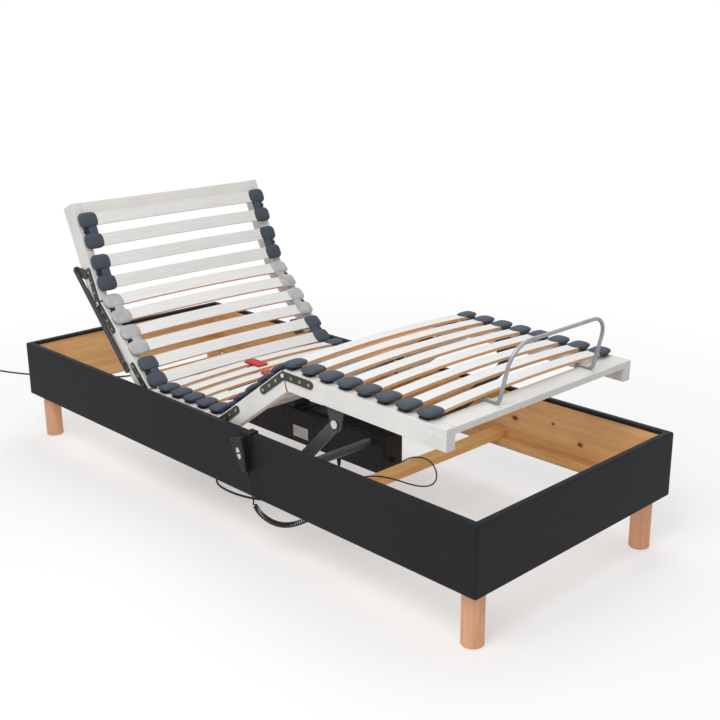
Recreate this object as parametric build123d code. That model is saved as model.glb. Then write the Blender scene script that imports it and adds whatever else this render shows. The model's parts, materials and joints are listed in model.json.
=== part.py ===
from build123d import *
import math
import os
import numpy as np

# Adjustable slatted bed base standing in an upholstered box, in millimetres.
# X runs from the head end (-) to the foot end (+), Y from the near side (-) to the far side (+),
# Z is up, and the origin lies on the floor under the middle of the box.

# Box and legs
LENGTH = 2000.0
WIDTH = 800.0
LEG_HEIGHT = 150.0
LEG_RADIUS = 28.0
LEG_X = 952.0
LEG_Y = 349.0
PANEL_HEIGHT = 180.0
PANEL = 18.0
SKIN = 1.2
TOP_ROUND = 6.0
LIP_ROUND = 4.0
LIP = 10.0
BLOCK = 70.0
LEDGER = 28.0
BEAM_X = 419.0
BEAM_WIDTH = 44.0
BEAM_THICK = 20.0

# Rails: outer face, thickness, and the height of rail above and below the line through the pivots
RAIL_OUT = 366.0
RAIL_IN = 336.0
RAIL_UP = 15.0
RAIL_DOWN = 40.0
PIVOT_Z = 305.0
BACK_X = -313.0
THIGH_X = 37.0
SEAT_LENGTH = THIGH_X - BACK_X
BACK_LENGTH = 342.0
HEAD_LENGTH = 318.0
THIGH_LENGTH = 350.0
CALF_LENGTH = 556.0
FOOT_BOARD = 64.0
BACK_ANGLE = 43.6
HEAD_ANGLE = 65.6
THIGH_ANGLE = 35.7
CALF_ANGLE = -1.5
BACK_TOP = 51.6

# Slats and their end caps
SLAT_WIDTH = 38.0
SLAT_THICK = 8.0
SLAT_HALF = 328.0
SLAT_CAMBER = 10.0
SLAT_LOW = 22.0
CAP_LOW = 20.0
CAP_THICK = 14.0
CAP_IN = 302.0
CAP_OUT = 364.0

# Hinge straps
STRAP_RADIUS = 11.0
STRAP_REACH = 114.0
STRAP_OUT = 369.0
LAP_IN = 367.45
LAP_OUT = 367.55
PIN = 4.0
RUN = 0.05
RIVETS = (34.0, 67.0, 100.0)

# Head stay, in the head's and the back's own coordinates
STAY_TIP = (125.4, -65.4)
STAY_BOLT = (128.1, -30.8)
STAY_IN = 371.0
STAY_OUT = 374.5

# Lift levers
SHAFT_X = 302.0
SHAFT_Z = 230.0
SHAFT_RADIUS = 12.5
ARM_IN = 326.5
ARM_OUT = 332.5
LEG_ARM = 251.56
LEG_ARM_ANGLE = 45.39
BACK_ARM = 200.0
ROLLER = 15.0
ROLLER_GAP = 0.4
FORK = 45.0
LEG_FORK_ANGLE = 23.04
SLOT_AT = (163.5, -95.5)

# Drive
DRIVE_HALF = 358.0
DRIVE_SIDE = 40.0
DRIVE_LOW = 140.0
DRIVE_JOIN = 200.0
DRIVE_HIGH = 250.0
DRIVE_WALL = 4.0
SPINDLE_Z = 172.0
SPINDLE = 7.0

# Cords
CORD = 2.0
CURL = 6.2
CURL_PITCH = 7.2
LEAD = 3.25

os.makedirs("parts", exist_ok=True)


def save(name, shapes):
    """One step file holding every solid of a piece."""
    solids = []
    for shape in shapes:
        solids.extend(shape.solids())
    body = solids[0] if len(solids) == 1 else Compound(solids)
    export_step(body, "parts/" + name + ".step")
    print(name, len(solids), "solids", round(sum(s.volume for s in solids) / 1000.0, 1), "cm3")


def block(x0, x1, y0, y1, z0, z1):
    return Pos((x0 + x1) / 2, (y0 + y1) / 2, (z0 + z1) / 2) * Box(x1 - x0, y1 - y0, z1 - z0)


def prism(points, y0, y1):
    """Outline in the x-z plane carried along y."""
    outline = make_face(Plane.XZ * Polyline(*points, close=True))
    return Pos(0, y1, 0) * extrude(outline, amount=y1 - y0, dir=(0, -1, 0))


def rod_y(x, z, radius, y0, y1):
    return Pos(x, (y0 + y1) / 2, z) * Rot(90, 0, 0) * Cylinder(radius, abs(y1 - y0))


def rod_x(y, z, radius, x0, x1):
    return Pos((x0 + x1) / 2, y, z) * Rot(0, 90, 0) * Cylinder(radius, abs(x1 - x0))


def link(start, r0, end, r1, y0, y1):
    """Flat bar with round ends in the x-z plane."""
    dx = end[0] - start[0]
    dz = end[1] - start[1]
    lean = math.atan2(dz, dx)
    turn = math.acos((r0 - r1) / math.hypot(dx, dz))
    corners = []
    for centre, radius, side in ((start, r0, 1), (end, r1, 1), (end, r1, -1), (start, r0, -1)):
        angle = lean + side * turn
        corners.append((centre[0] + radius * math.cos(angle), centre[1] + radius * math.sin(angle)))
    bar = prism(corners, y0, y1)
    return bar + rod_y(start[0], start[1], r0, y0, y1) + rod_y(end[0], end[1], r1, y0, y1)


def both(shapes):
    """The near pieces and their twins on the far side."""
    return list(shapes) + [mirror(shape, about=Plane.XZ) for shape in shapes]


def put(place, shapes):
    return [place * shape for shape in shapes]


def along(angle, reach, down=0.0):
    """Step along a section leaning by an angle, and square to it."""
    a = math.radians(angle)
    return (reach * math.cos(a) - down * math.sin(a), reach * math.sin(a) + down * math.cos(a))


# Places of the sections: each is drawn flat from its pivot along +x and then leaned
HEAD_PIVOT = (BACK_X - along(BACK_ANGLE, BACK_LENGTH)[0], PIVOT_Z + along(BACK_ANGLE, BACK_LENGTH)[1])
KNEE = (THIGH_X + along(THIGH_ANGLE, THIGH_LENGTH)[0], PIVOT_Z + along(THIGH_ANGLE, THIGH_LENGTH)[1])
SEAT = Pos(BACK_X, 0, PIVOT_Z)
BACK = Pos(BACK_X, 0, PIVOT_Z) * Rot(0, BACK_ANGLE, 0) * Rot(0, 0, 180)
HEAD = Pos(HEAD_PIVOT[0], 0, HEAD_PIVOT[1]) * Rot(0, HEAD_ANGLE, 0) * Rot(0, 0, 180)
THIGH = Pos(THIGH_X, 0, PIVOT_Z) * Rot(0, -THIGH_ANGLE, 0)
CALF = Pos(KNEE[0], 0, KNEE[1]) * Rot(0, -CALF_ANGLE, 0)

# Box panels with their leatherette


def panel(length, half):
    """Board and cover of one side, drawn as the near side at -half, with mitred ends."""
    high = LEG_HEIGHT + PANEL_HEIGHT
    outer = block(-length / 2, length / 2, -half, -half + PANEL, LEG_HEIGHT, high)
    outer += block(-length / 2, length / 2, -half + PANEL, -half + PANEL + SKIN, high - LIP, high)
    edges = outer.edges().filter_by(Axis.X).group_by(Axis.Z)[-1].sort_by(Axis.Y)
    outer = fillet(edges[0], TOP_ROUND)
    edges = outer.edges().filter_by(Axis.X).group_by(Axis.Z)[-1].sort_by(Axis.Y)
    outer = fillet(edges[-1], LIP_ROUND)
    core = block(-length / 2, length / 2, -half + SKIN, -half + PANEL, LEG_HEIGHT + SKIN, high - SKIN)
    edges = core.edges().filter_by(Axis.X).group_by(Axis.Z)[-1].sort_by(Axis.Y)
    core = fillet(edges[0], TOP_ROUND - SKIN)
    edges = core.edges().filter_by(Axis.X).group_by(Axis.Z)[-1].sort_by(Axis.Y)
    core = fillet(edges[-1], LIP_ROUND - SKIN)
    depth = PANEL + SKIN + 5
    plan = [(-length / 2, -half), (length / 2, -half)]
    plan += [(length / 2 - depth, -half + depth), (-length / 2 + depth, -half + depth)]
    mitre = extrude(make_face(Polyline(*plan, close=True)), amount=2 * high)
    return core & mitre, (outer - core) & mitre


side_board, side_skin = panel(LENGTH, WIDTH / 2)
end_board, end_skin = panel(WIDTH, LENGTH / 2)
save("side_board_near", [side_board])
save("side_board_far", [Rot(0, 0, 180) * side_board])
save("foot_end_board", [Rot(0, 0, 90) * end_board])
save("head_end_board", [Rot(0, 0, -90) * end_board])
skins = [side_skin, Rot(0, 0, 180) * side_skin, Rot(0, 0, 90) * end_skin, Rot(0, 0, -90) * end_skin]
save("leatherette_covers", skins)

# Legs on corner blocks, each on a hanger stud
inner_x = LENGTH / 2 - PANEL
inner_y = WIDTH / 2 - PANEL
blocks = []
legs = []
studs = []
for sx in (-1, 1):
    for sy in (-1, 1):
        bore = Pos(sx * LEG_X, sy * LEG_Y, LEG_HEIGHT) * Cylinder(4.05, 96)
        corner = Pos(sx * (inner_x - BLOCK / 2), sy * (inner_y - BLOCK / 2), LEG_HEIGHT + 22.5)
        blocks.append(corner * Box(BLOCK, BLOCK, 45) - bore)
        leg = Pos(sx * LEG_X, sy * LEG_Y, LEG_HEIGHT / 2) * Cylinder(LEG_RADIUS, LEG_HEIGHT)
        leg = fillet(leg.edges().group_by(Axis.Z)[0], 3)
        legs.append(leg - bore)
        studs.append(Pos(sx * LEG_X, sy * LEG_Y, LEG_HEIGHT - 2) * Cylinder(4.0, 84))
save("corner_blocks", blocks)
save("legs", legs)
save("leg_studs", studs)

# Ledgers, seat posts and the cross-beam
ledger_top = LEG_HEIGHT + LEDGER
supports = [block(-905, 905, -inner_y, -inner_y + LEDGER, LEG_HEIGHT, ledger_top)]
for x in (BACK_X + 73, THIGH_X - 37):
    supports.append(block(x - 14, x + 14, -inner_y, -340, ledger_top, PIVOT_Z - RAIL_DOWN))
save("seat_supports", both(supports))
beam = block(BEAM_X, BEAM_X + BEAM_WIDTH, -inner_y, inner_y, ledger_top, ledger_top + BEAM_THICK)
save("cross_beam", [beam])

# Rails


def rail(length, near, far):
    """Rail from one pivot to the next: gaps at its ends at the top, at the pivot line and at the bottom."""
    points = [(near[0], RAIL_UP), (length - far[0], RAIL_UP), (length - far[1], 0)]
    points += [(length - far[2], -RAIL_DOWN), (near[2], -RAIL_DOWN), (near[1], 0)]
    body = prism(points, -RAIL_OUT, -RAIL_IN)
    return fillet(body.edges().filter_by(Axis.X), 2.5)


FOLD_BACK = (8.5, 1.5, 1.5)
FOLD_HEAD = (5.6, 1.5, 1.5)
FOLD_THIGH = (7.0, 1.5, 1.5)
FOLD_KNEE = (1.5, 1.5, 17.0)
SQUARE = (0.0, 0.0, 0.0)
save("seat_rails", put(SEAT, both([rail(SEAT_LENGTH, FOLD_BACK, FOLD_THIGH)])))
save("back_rails", put(BACK, both([rail(BACK_LENGTH, FOLD_BACK, FOLD_HEAD)])))
save("head_rails", put(HEAD, both([rail(HEAD_LENGTH, FOLD_HEAD, SQUARE)])))
save("thigh_rails", put(THIGH, both([rail(THIGH_LENGTH, FOLD_THIGH, FOLD_KNEE)])))
save("calf_rails", put(CALF, both([rail(CALF_LENGTH, FOLD_KNEE, SQUARE)])))

# Boards between the rails


def board(u0, u1, low, high):
    body = block(u0, u1, -RAIL_IN, RAIL_IN, low, high)
    return fillet(body.edges().filter_by(Axis.Y), 2.0)


save("seat_cross_boards", put(SEAT, [board(22, 112, -11, 7), board(262, 334, -11, 7)]))
save("back_cross_tie", put(BACK, [board(24, 64, -12, 10)]))
save("head_top_board", put(HEAD, [board(HEAD_LENGTH - 42, HEAD_LENGTH, -8, RAIL_UP)]))
save("foot_board", put(CALF, [board(CALF_LENGTH - FOOT_BOARD, CALF_LENGTH, RAIL_UP - 18, RAIL_UP)]))

# Slats and caps


def slat(u):
    low = ThreePointArc((0, -SLAT_HALF, SLAT_LOW), (0, 0, SLAT_LOW + SLAT_CAMBER), (0, SLAT_HALF, SLAT_LOW))
    top = SLAT_LOW + SLAT_THICK
    high = ThreePointArc((0, -SLAT_HALF, top), (0, 0, top + SLAT_CAMBER), (0, SLAT_HALF, top))
    rim = Curve() + [low, Line(low @ 1, high @ 1), high, Line(high @ 0, low @ 0)]
    body = extrude(make_face(rim), amount=SLAT_WIDTH, dir=(1, 0, 0))
    return Pos(u - SLAT_WIDTH / 2, 0, 0) * body


def lobe(u, width):
    """Rubber body round one slat end, with its outer end rounded."""
    body = block(u - width / 2, u + width / 2, -CAP_OUT, -CAP_IN, CAP_LOW, CAP_LOW + CAP_THICK)
    posts = body.edges().filter_by(Axis.Z).group_by(Axis.Y)
    body = fillet(posts[0], 13)
    body = fillet(body.edges().filter_by(Axis.Z).group_by(Axis.Y)[-1], 4)
    return fillet(body.edges().group_by(Axis.Z)[-1], 3)


def single(u):
    foot = block(u - 12, u + 12, -360, -338, RAIL_UP, CAP_LOW)
    return [lobe(u, 40) - slat(u), foot]


def double(u0, u1):
    """Two lobes and the waist between them, standing on one foot under the waist."""
    middle = (u0 + u1) / 2
    waist = block(u0 + 18, u1 - 18, -352, -318, CAP_LOW, CAP_LOW + CAP_THICK - 3)
    window = block(middle - 3, middle + 3, -344, -326, CAP_LOW + CAP_THICK - 6, CAP_LOW + CAP_THICK)
    body = lobe(u0, 42) + waist + lobe(u1, 42)
    body = body - window - slat(u0) - slat(u1)
    foot = block(middle - 20, middle + 20, -352, -338, RAIL_UP, CAP_LOW)
    return [body, foot]


SEAT_SLATS = [64.0 + 62.4 * k for k in range(5)]
BACK_SLATS = [26.0 + 59.6 * k for k in range(6)]
HEAD_SLATS = [53.0 + 68.0 * k for k in range(4)]
THIGH_SLATS = [45.0 + 68.0 * k for k in range(5)]
CALF_SLATS = [12.0 + 66.5 * k for k in range(8)]


def singles(stations):
    pieces = []
    for u in stations:
        pieces.extend(single(u))
    return both(pieces)


def doubles(stations):
    pieces = []
    for k in range(0, len(stations), 2):
        pieces.extend(double(stations[k], stations[k + 1]))
    return both(pieces)


save("seat_slats", put(SEAT, [slat(u) for u in SEAT_SLATS]))
save("back_slats", put(BACK, [slat(u) for u in BACK_SLATS]))
save("head_slats", put(HEAD, [slat(u) for u in HEAD_SLATS]))
save("thigh_slats", put(THIGH, [slat(u) for u in THIGH_SLATS]))
save("calf_slats", put(CALF, [slat(u) for u in CALF_SLATS]))
save("seat_caps", put(SEAT, singles(SEAT_SLATS)))
save("back_caps_blue", put(BACK, doubles(BACK_SLATS[:2])))
save("back_caps_grey", put(BACK, doubles(BACK_SLATS[2:])))
save("head_caps", put(HEAD, doubles(HEAD_SLATS)))
save("thigh_caps", put(THIGH, singles(THIGH_SLATS)))
save("calf_caps", put(CALF, singles(CALF_SLATS)))

# Firmness sliders, each gripping two neighbouring seat slats


def firmness_slider(first, y):
    u = (SEAT_SLATS[first] + SEAT_SLATS[first + 1]) / 2
    crown = SLAT_LOW + SLAT_CAMBER
    top = block(u - 37, u + 37, y - 20, y + 20, crown + SLAT_THICK + 0.5, crown + SLAT_THICK + 5.5)
    top = fillet(top.edges().filter_by(Axis.Z), 6)
    top = fillet(top.edges().group_by(Axis.Z)[-1], 1.5)
    web = block(u - 9, u + 9, y - 14, y + 14, crown - 4, crown + SLAT_THICK + 1)
    sole = block(u - 25, u + 25, y - 17, y + 17, crown - 6, crown - 2)
    return top + web + sole


save("firmness_slider_head", put(SEAT, [firmness_slider(0, -27)]))
save("firmness_slider_foot", put(SEAT, [firmness_slider(2, -62)]))

# Hinge straps with half-lapped eyes, rivets and pins


def strap(u, way, inner):
    """Strap from the eye at u along the rail; the inner eye carries the pin, the outer one turns on it."""
    body = link((u, 0), STRAP_RADIUS, (u + way * (STRAP_REACH - STRAP_RADIUS), 0), STRAP_RADIUS,
                -STRAP_OUT, -RAIL_OUT)
    if inner:
        body -= rod_y(u, 0, STRAP_RADIUS + 1.5, -STRAP_OUT - 1, -LAP_IN)
        body -= rod_y(u, 0, PIN, -STRAP_OUT - 1, -RAIL_OUT + 1)
    else:
        body -= rod_y(u, 0, STRAP_RADIUS + 1.5, -LAP_OUT, -RAIL_OUT + 1)
        body -= rod_y(u, 0, PIN + RUN, -STRAP_OUT - 1, -RAIL_OUT + 1)
    pieces = []
    for reach in RIVETS:
        at = u + way * reach
        body -= rod_y(at, 0, 2.55, -STRAP_OUT - 1, -RAIL_OUT + 1)
        shank = rod_y(at, 0, 2.5, -STRAP_OUT, -RAIL_OUT)
        pieces.append(shank + rod_y(at, 0, 4.5, -STRAP_OUT - 1.2, -STRAP_OUT))
    pieces.append(body)
    if inner:
        pin = rod_y(u, 0, PIN, -STRAP_OUT - 0.2, -RAIL_OUT)
        pieces.append(pin + rod_y(u, 0, 6.5, -STRAP_OUT - 1.6, -STRAP_OUT - 0.1))
    return pieces


save("seat_straps", put(SEAT, both(strap(0, 1, True) + strap(SEAT_LENGTH, -1, True))))

# The stay's bolt stands on the back rail, its lever on the head rail
stay_bolt = rod_y(STAY_BOLT[0], STAY_BOLT[1], 8.0, -STAY_IN + 0.3, -RAIL_OUT)
stay_bolt += rod_y(STAY_BOLT[0], STAY_BOLT[1], PIN, -STAY_OUT - 0.4, -RAIL_OUT)
stay_bolt += rod_y(STAY_BOLT[0], STAY_BOLT[1], 7.5, -STAY_OUT - 2.0, -STAY_OUT - 0.3)
back_straps = strap(0, 1, False) + strap(BACK_LENGTH, -1, True) + [stay_bolt]
save("back_straps", put(BACK, both(back_straps)))
stay_lever = link((100, -24), 15.0, STAY_TIP, 12.0, -STAY_IN + 0.3, -RAIL_OUT)
stay_lever += rod_y(STAY_TIP[0], STAY_TIP[1], PIN, -STAY_OUT - 0.4, -RAIL_OUT)
stay_lever += rod_y(STAY_TIP[0], STAY_TIP[1], 7.0, -STAY_OUT - 2.0, -STAY_OUT - 0.3)
head_strap = strap(0, 1, False)
head_strap[-1] = head_strap[-1] - link((100, -24), 15.5, STAY_TIP, 12.5, -STAY_OUT, -RAIL_OUT + 1)
save("head_straps", put(HEAD, both(head_strap + [stay_lever])))

# Stay bar: an eye on the lever, a slot over the bolt
head_tilt = HEAD_ANGLE - BACK_ANGLE
tip = along(head_tilt, STAY_TIP[0], STAY_TIP[1])
tip = (BACK_LENGTH + tip[0], tip[1])
reach = math.hypot(tip[0] - STAY_BOLT[0], tip[1] - STAY_BOLT[1])
toward = ((STAY_BOLT[0] - tip[0]) / reach, (STAY_BOLT[1] - tip[1]) / reach)
end = (tip[0] + toward[0] * (reach + 16), tip[1] + toward[1] * (reach + 16))
stay = link(tip, STRAP_RADIUS, end, STRAP_RADIUS, -STAY_OUT, -STAY_IN)
stay -= rod_y(tip[0], tip[1], PIN + RUN, -STAY_OUT - 1, -STAY_IN + 1)
slot_near = (tip[0] + toward[0] * (reach - 15.5), tip[1] + toward[1] * (reach - 15.5))
slot_far = (tip[0] + toward[0] * (reach + 4), tip[1] + toward[1] * (reach + 4))
stay -= link(slot_near, PIN + 0.8, slot_far, PIN + 0.8, -STAY_OUT - 1, -STAY_IN + 1)
save("stay_bars", put(BACK, both([stay])))
print("stay reach", round(reach, 2))

save("thigh_straps", put(THIGH, both(strap(0, 1, False) + strap(THIGH_LENGTH, -1, True))))
save("calf_straps", put(CALF, both(strap(0, 1, False))))

# Brackets under the calf rails, slotted for the pins of the leg lift
outline = [(118, -2), (200, -2), (184, -100), (176, -112), (151, -112), (143, -100)]
bracket = prism(outline, -RAIL_IN, -RAIL_IN + 3)
window = block(SLOT_AT[0] - 14, SLOT_AT[0] + 14, -RAIL_IN - 1, -RAIL_IN + 4, SLOT_AT[1] - 9, SLOT_AT[1] + 9)
window = fillet(window.edges().filter_by(Axis.Y), 7)
save("lift_brackets", put(CALF, both([bracket - window])))

# Mattress retainer bow, bent from one rod that lies on the foot board and hooks behind it
BOW = 5.0
BOW_SIDE = 189.0
BOW_MIDDLE = 30.0
bow_edge = CALF_LENGTH - FOOT_BOARD - BOW - 0.4
bow_low = RAIL_UP + BOW + 0.1
side_points = [(bow_edge, -4.0), (bow_edge, bow_low), (535.0, bow_low), (567.0, bow_low + 150.0)]
route = [(u, BOW_MIDDLE - BOW_SIDE, n) for u, n in side_points]
route += [(u, BOW_MIDDLE + BOW_SIDE, n) for u, n in reversed(side_points)]
path = FilletPolyline(*route, radius=[6, 12, 62, 62, 12, 6])
bow = sweep(Plane(path @ 0, z_dir=path % 0) * Circle(BOW), path=path)
save("retainer_bow", put(CALF, [bow]))

# Lift levers: a tube across the base with an arm at each end and a fork in the drive


def lift_lever(way, arm, angle, fork_angle, fitting):
    centre = (way * SHAFT_X, SHAFT_Z)
    tip_x, tip_z = along(angle, arm)
    end = (centre[0] + way * tip_x, centre[1] + tip_z)
    fork_end = (centre[0] + way * FORK * math.sin(math.radians(fork_angle)),
                centre[1] - FORK * math.cos(math.radians(fork_angle)))
    side = link(centre, 18.0, end, 16.0, -ARM_OUT, -ARM_IN)
    side += fitting(end)
    cheek = link(centre, 13.0, fork_end, 10.0, -21, -13)
    body = rod_y(centre[0], centre[1], SHAFT_RADIUS, -ARM_OUT, ARM_OUT)
    for piece in both([side, cheek]):
        body += piece
    return body - rod_y(centre[0], centre[1], 9.5, -ARM_OUT - 1, ARM_OUT + 1), end


def slot_pin(at):
    pin = rod_y(at[0], at[1], 5.0, -RAIL_IN - 1.0, -ARM_OUT)
    return pin + rod_y(at[0], at[1], 11.0, -RAIL_IN - 2.8, -RAIL_IN - 0.8)


def roller_axle(at):
    pin = rod_y(at[0], at[1], 5.0, -353.6, -ARM_OUT)
    return pin + rod_y(at[0], at[1], 8.0, -355.0, -353.5) + rod_y(at[0], at[1], 8.0, -337.5, -ARM_OUT)


def contact_angle(theta):
    """Angle of the back lift's arm that brings its roller under the rail leaning by theta."""
    t = math.radians(theta)
    dx = -SHAFT_X - BACK_X
    dz = SHAFT_Z - PIVOT_Z
    below = -(RAIL_DOWN + ROLLER + ROLLER_GAP)
    return theta + math.degrees(math.asin((below - dx * math.sin(t) - dz * math.cos(t)) / BACK_ARM))


back_ratio = (contact_angle(BACK_TOP) - contact_angle(0)) / BACK_TOP
back_arm_angle = contact_angle(0) + back_ratio * BACK_ANGLE
back_fork_angle = back_arm_angle - (contact_angle(0) + contact_angle(BACK_TOP)) / 2
print("back lift", round(back_ratio, 5), round(back_arm_angle, 3), round(back_fork_angle, 3))
leg_lever, leg_tip = lift_lever(1, LEG_ARM, LEG_ARM_ANGLE, LEG_FORK_ANGLE, slot_pin)
back_lever, back_tip = lift_lever(-1, BACK_ARM, back_arm_angle, back_fork_angle, roller_axle)
save("leg_lift_lever", [leg_lever])
save("back_lift_lever", [back_lever])
roller = rod_y(back_tip[0], back_tip[1], ROLLER, -353, -338)
roller = fillet(roller.edges(), 1.0)
roller -= rod_y(back_tip[0], back_tip[1], 5.0 + RUN, -354, -337)
save("back_lift_rollers", both([roller]))
print("lever tips", [round(v, 3) for v in leg_tip + back_tip])

# Drive: tray, cover, motors with gearboxes, spindles and nuts
tray = block(-DRIVE_HALF, DRIVE_HALF, -DRIVE_SIDE, DRIVE_SIDE, DRIVE_LOW, DRIVE_JOIN)
tray = fillet(tray.edges().filter_by(Axis.Z), 8)
tray = fillet(tray.edges().group_by(Axis.Z)[0], 5)
cover = block(-DRIVE_HALF, DRIVE_HALF, -DRIVE_SIDE, DRIVE_SIDE, DRIVE_JOIN, DRIVE_HIGH)
cover = fillet(cover.edges().filter_by(Axis.Z), 8)
cover = fillet(cover.edges().group_by(Axis.Z)[-1], 5)
room_x = DRIVE_HALF - DRIVE_WALL
room_y = DRIVE_SIDE - DRIVE_WALL
room = block(-room_x, room_x, -room_y, room_y, DRIVE_LOW + DRIVE_WALL, DRIVE_HIGH - DRIVE_WALL)
room = fillet(room.edges(), 3)
tray -= room
cover -= room
for way in (-1, 1):
    cover -= rod_y(way * SHAFT_X, SHAFT_Z, SHAFT_RADIUS + RUN, -60, 60)
    for k in range(7):
        groove = Pos(way * (344 - 9 * k), 0, DRIVE_HIGH) * Box(3, 2 * DRIVE_SIDE + 2, 3)
        if k < 2:
            cover -= groove
    for k in range(6):
        for sy in (-1, 1):
            cover -= Pos(way * (90 + 28 * k), sy * 30, DRIVE_HIGH) * Cylinder(3.5, 4)
for y in (-33.0, -20.0, -7.0, 6.0, 19.0, 32.0):
    rib = block(140, 352, y - 1.8, y + 1.8, DRIVE_HIGH - 1, DRIVE_HIGH + 5)
    cover += fillet(rib.edges().group_by(Axis.Z)[-1], 1.0)
for x, z in ((-70, 214), (-70, 184), (62, 214), (120, 166), (208, 166), (262, 214), (330, 166), (-208, 166), (-330, 166)):
    hole = rod_y(x, z, 3.6, -DRIVE_SIDE - 1, -DRIVE_SIDE + 2.4)
    tray -= hole
    cover -= hole
hump = block(34, 128, -27, 27, DRIVE_HIGH, DRIVE_HIGH + 9)
hump = fillet(hump.edges().group_by(Axis.Z)[-1], 5)
cover += hump
socket = rod_x(-4, 182, 7.0, DRIVE_HALF, DRIVE_HALF + 14)
tray += fillet(socket.edges().sort_by(Axis.X)[-1], 2)
tray += Pos(158, -26, 126) * Cone(4.5, 8.0, 28)
save("drive_tray", [tray])
save("drive_cover", [cover])
motors = []
spindles = {}
for way in (-1, 1):
    can = rod_x(0, 186, 24, way * 22, way * 100)
    box = block(min(way * 100, way * 141), max(way * 100, way * 141), -30, 30, 152, 214)
    motors.append(fillet(can.edges(), 3) + fillet(box.edges(), 4))
    spindles[way] = rod_x(0, SPINDLE_Z, SPINDLE, way * 141.3, way * 348)
save("drive_motors", motors)
save("leg_spindle", [spindles[1]])
save("back_spindle", [spindles[-1]])


def drive_nut(way, fork_angle):
    """Nut whose face stands just behind the fork."""
    face = SHAFT_X + FORK * math.sin(math.radians(fork_angle)) - 11.0
    body = block(face - 30, face, -24, 24, SPINDLE_Z - 16, SPINDLE_Z + 15)
    body = fillet(body.edges().filter_by(Axis.X), 4)
    body -= rod_x(0, SPINDLE_Z, SPINDLE + RUN, face - 40, face + 10)
    return body if way > 0 else mirror(body, about=Plane.YZ)


save("leg_drive_nut", [drive_nut(1, LEG_FORK_ANGLE)])
save("back_drive_nut", [drive_nut(-1, back_fork_angle)])
hangers = []
for x in (BACK_X + 67, THIGH_X - 52):
    low = DRIVE_HIGH
    high = PIVOT_Z - 11
    profile = [(x - 20, low), (x + 20, low), (x + 20, low + 3), (x - 17, low + 3), (x - 17, high - 3)]
    profile += [(x + 20, high - 3), (x + 20, high), (x - 20, high)]
    hangers.append(prism(profile, -30, 30))
save("drive_hangers", hangers)

# Handset hooked over the near panel: two shells and two rocker keys
HANDSET = Pos(197, 0, 271) * Rot(0, -20, 0)
body_points = [(-27, 48), (25, 48), (22, 8), (9, -48), (-9, -48), (-22, 8)]
shell = prism(body_points, -423, -401)
shell = fillet(shell.edges().filter_by(Axis.Y), 6)
front = shell & block(-60, 60, -430, -412, -80, 80)
front = fillet(front.edges().group_by(Axis.Y)[0], 3)
rear = shell & block(-60, 60, -412, -390, -80, 80)
room = prism([(-21, 42), (19, 42), (17, 6), (5, -38), (-5, -38), (-17, 6)], -419.5, -404)
front -= room
rear -= room
KEYS = (15.0, -5.0)
keys = []
for z in KEYS:
    front -= block(-10.5, 10.5, -430, -414, z - 8.5, z + 8.5)
    key = block(-10, 10, -424.5, -417.5, z - 8, z + 8)
    key = fillet(key.edges().group_by(Axis.Y)[0], 1.5)
    keys.append(key)
boss = Pos(0, -412, -54) * Cylinder(4.5, 14)
front += boss & block(-60, 60, -430, -412, -80, -44)
rear += boss & block(-60, 60, -412, -390, -80, -44)
save("handset_front", put(HANDSET, [front]))
save("back_key", put(HANDSET, [keys[0]]))
save("leg_key", put(HANDSET, [keys[1]]))
top = LEG_HEIGHT + PANEL_HEIGHT
hook = block(194, 224, -404, -401, 284, top + 4)
hook += block(198, 224, -404, -376.5, top + 1.0, top + 4)
hook += block(198, 224, -379.5, -376.5, top - 16, top + 4)
save("handset_rear", [HANDSET * rear + hook])

# Cords


def bend_radii(points):
    """A generous bend radius at each inner point of a route."""
    radii = []
    for a, b, c in zip(points, points[1:], points[2:]):
        before = Vector(*b) - Vector(*a)
        after = Vector(*c) - Vector(*b)
        turn = math.radians(before.get_angle(after))
        shorter = min(before.length, after.length)
        radii.append(0.45 * shorter / max(math.tan(turn / 2), 0.02))
    return radii


def tube(name, points, radius):
    """Round cord along a route of straight runs and bends."""
    radii = bend_radii(points)
    path = FilletPolyline(*points, radius=radii)
    body = sweep(Plane(path @ 0, z_dir=path % 0) * Circle(radius), path=path)
    expected = math.pi * radius ** 2 * path.length
    print(name, "least bend", round(min(radii), 1), "volume ratio", round(body.volume / expected, 4),
          "length", round(path.length))
    return body


def spline_point(points, t):
    """Point of the clamped quadratic spline through its control points, t from 0 to the number of spans."""
    spans = len(points) - 2
    k = min(int(t), spans - 1)
    f = t - k
    p = np.array(points, float)
    a = p[0] if k == 0 else (p[k] + p[k + 1]) / 2
    c = p[-1] if k == spans - 1 else (p[k + 1] + p[k + 2]) / 2
    return (1 - f) ** 2 * a + 2 * f * (1 - f) * p[k + 1] + f ** 2 * c


def unit(v):
    return v / np.linalg.norm(v)


def biarc_path(points, tangents):
    """Smooth chain of arcs through points with given directions."""
    pieces = []
    for p0, p1, t0, t1 in zip(points, points[1:], tangents, tangents[1:]):
        v = p1 - p0
        t = t0 + t1
        k = 2 * (1 - np.dot(t0, t1))
        if np.linalg.norm(np.cross(v, t0)) < 1e-6 and k < 1e-9:
            pieces.append(Line(tuple(p0), tuple(p1)))
            continue
        if k < 1e-9:
            d = np.dot(v, v) / (2 * np.dot(v, t))
        else:
            d = (-np.dot(v, t) + math.sqrt(np.dot(v, t) ** 2 + k * np.dot(v, v))) / k
        q0 = p0 + t0 * d
        q1 = p1 - t1 * d
        middle = (q0 + q1) / 2
        tm = unit(q1 - q0)
        pieces.append(TangentArc(tuple(p0), tuple(middle), tangent=tuple(t0)))
        pieces.append(TangentArc(tuple(middle), tuple(p1), tangent=tuple(tm)))
    return pieces


CURL_ROUTE = [(235, -411, 150), (239.4, -410.5, 129.5), (272, -405, 107), (312, -396, 98), (350, -381, 103),
              (381, -354, 119), (392, -340, 129)]


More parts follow.
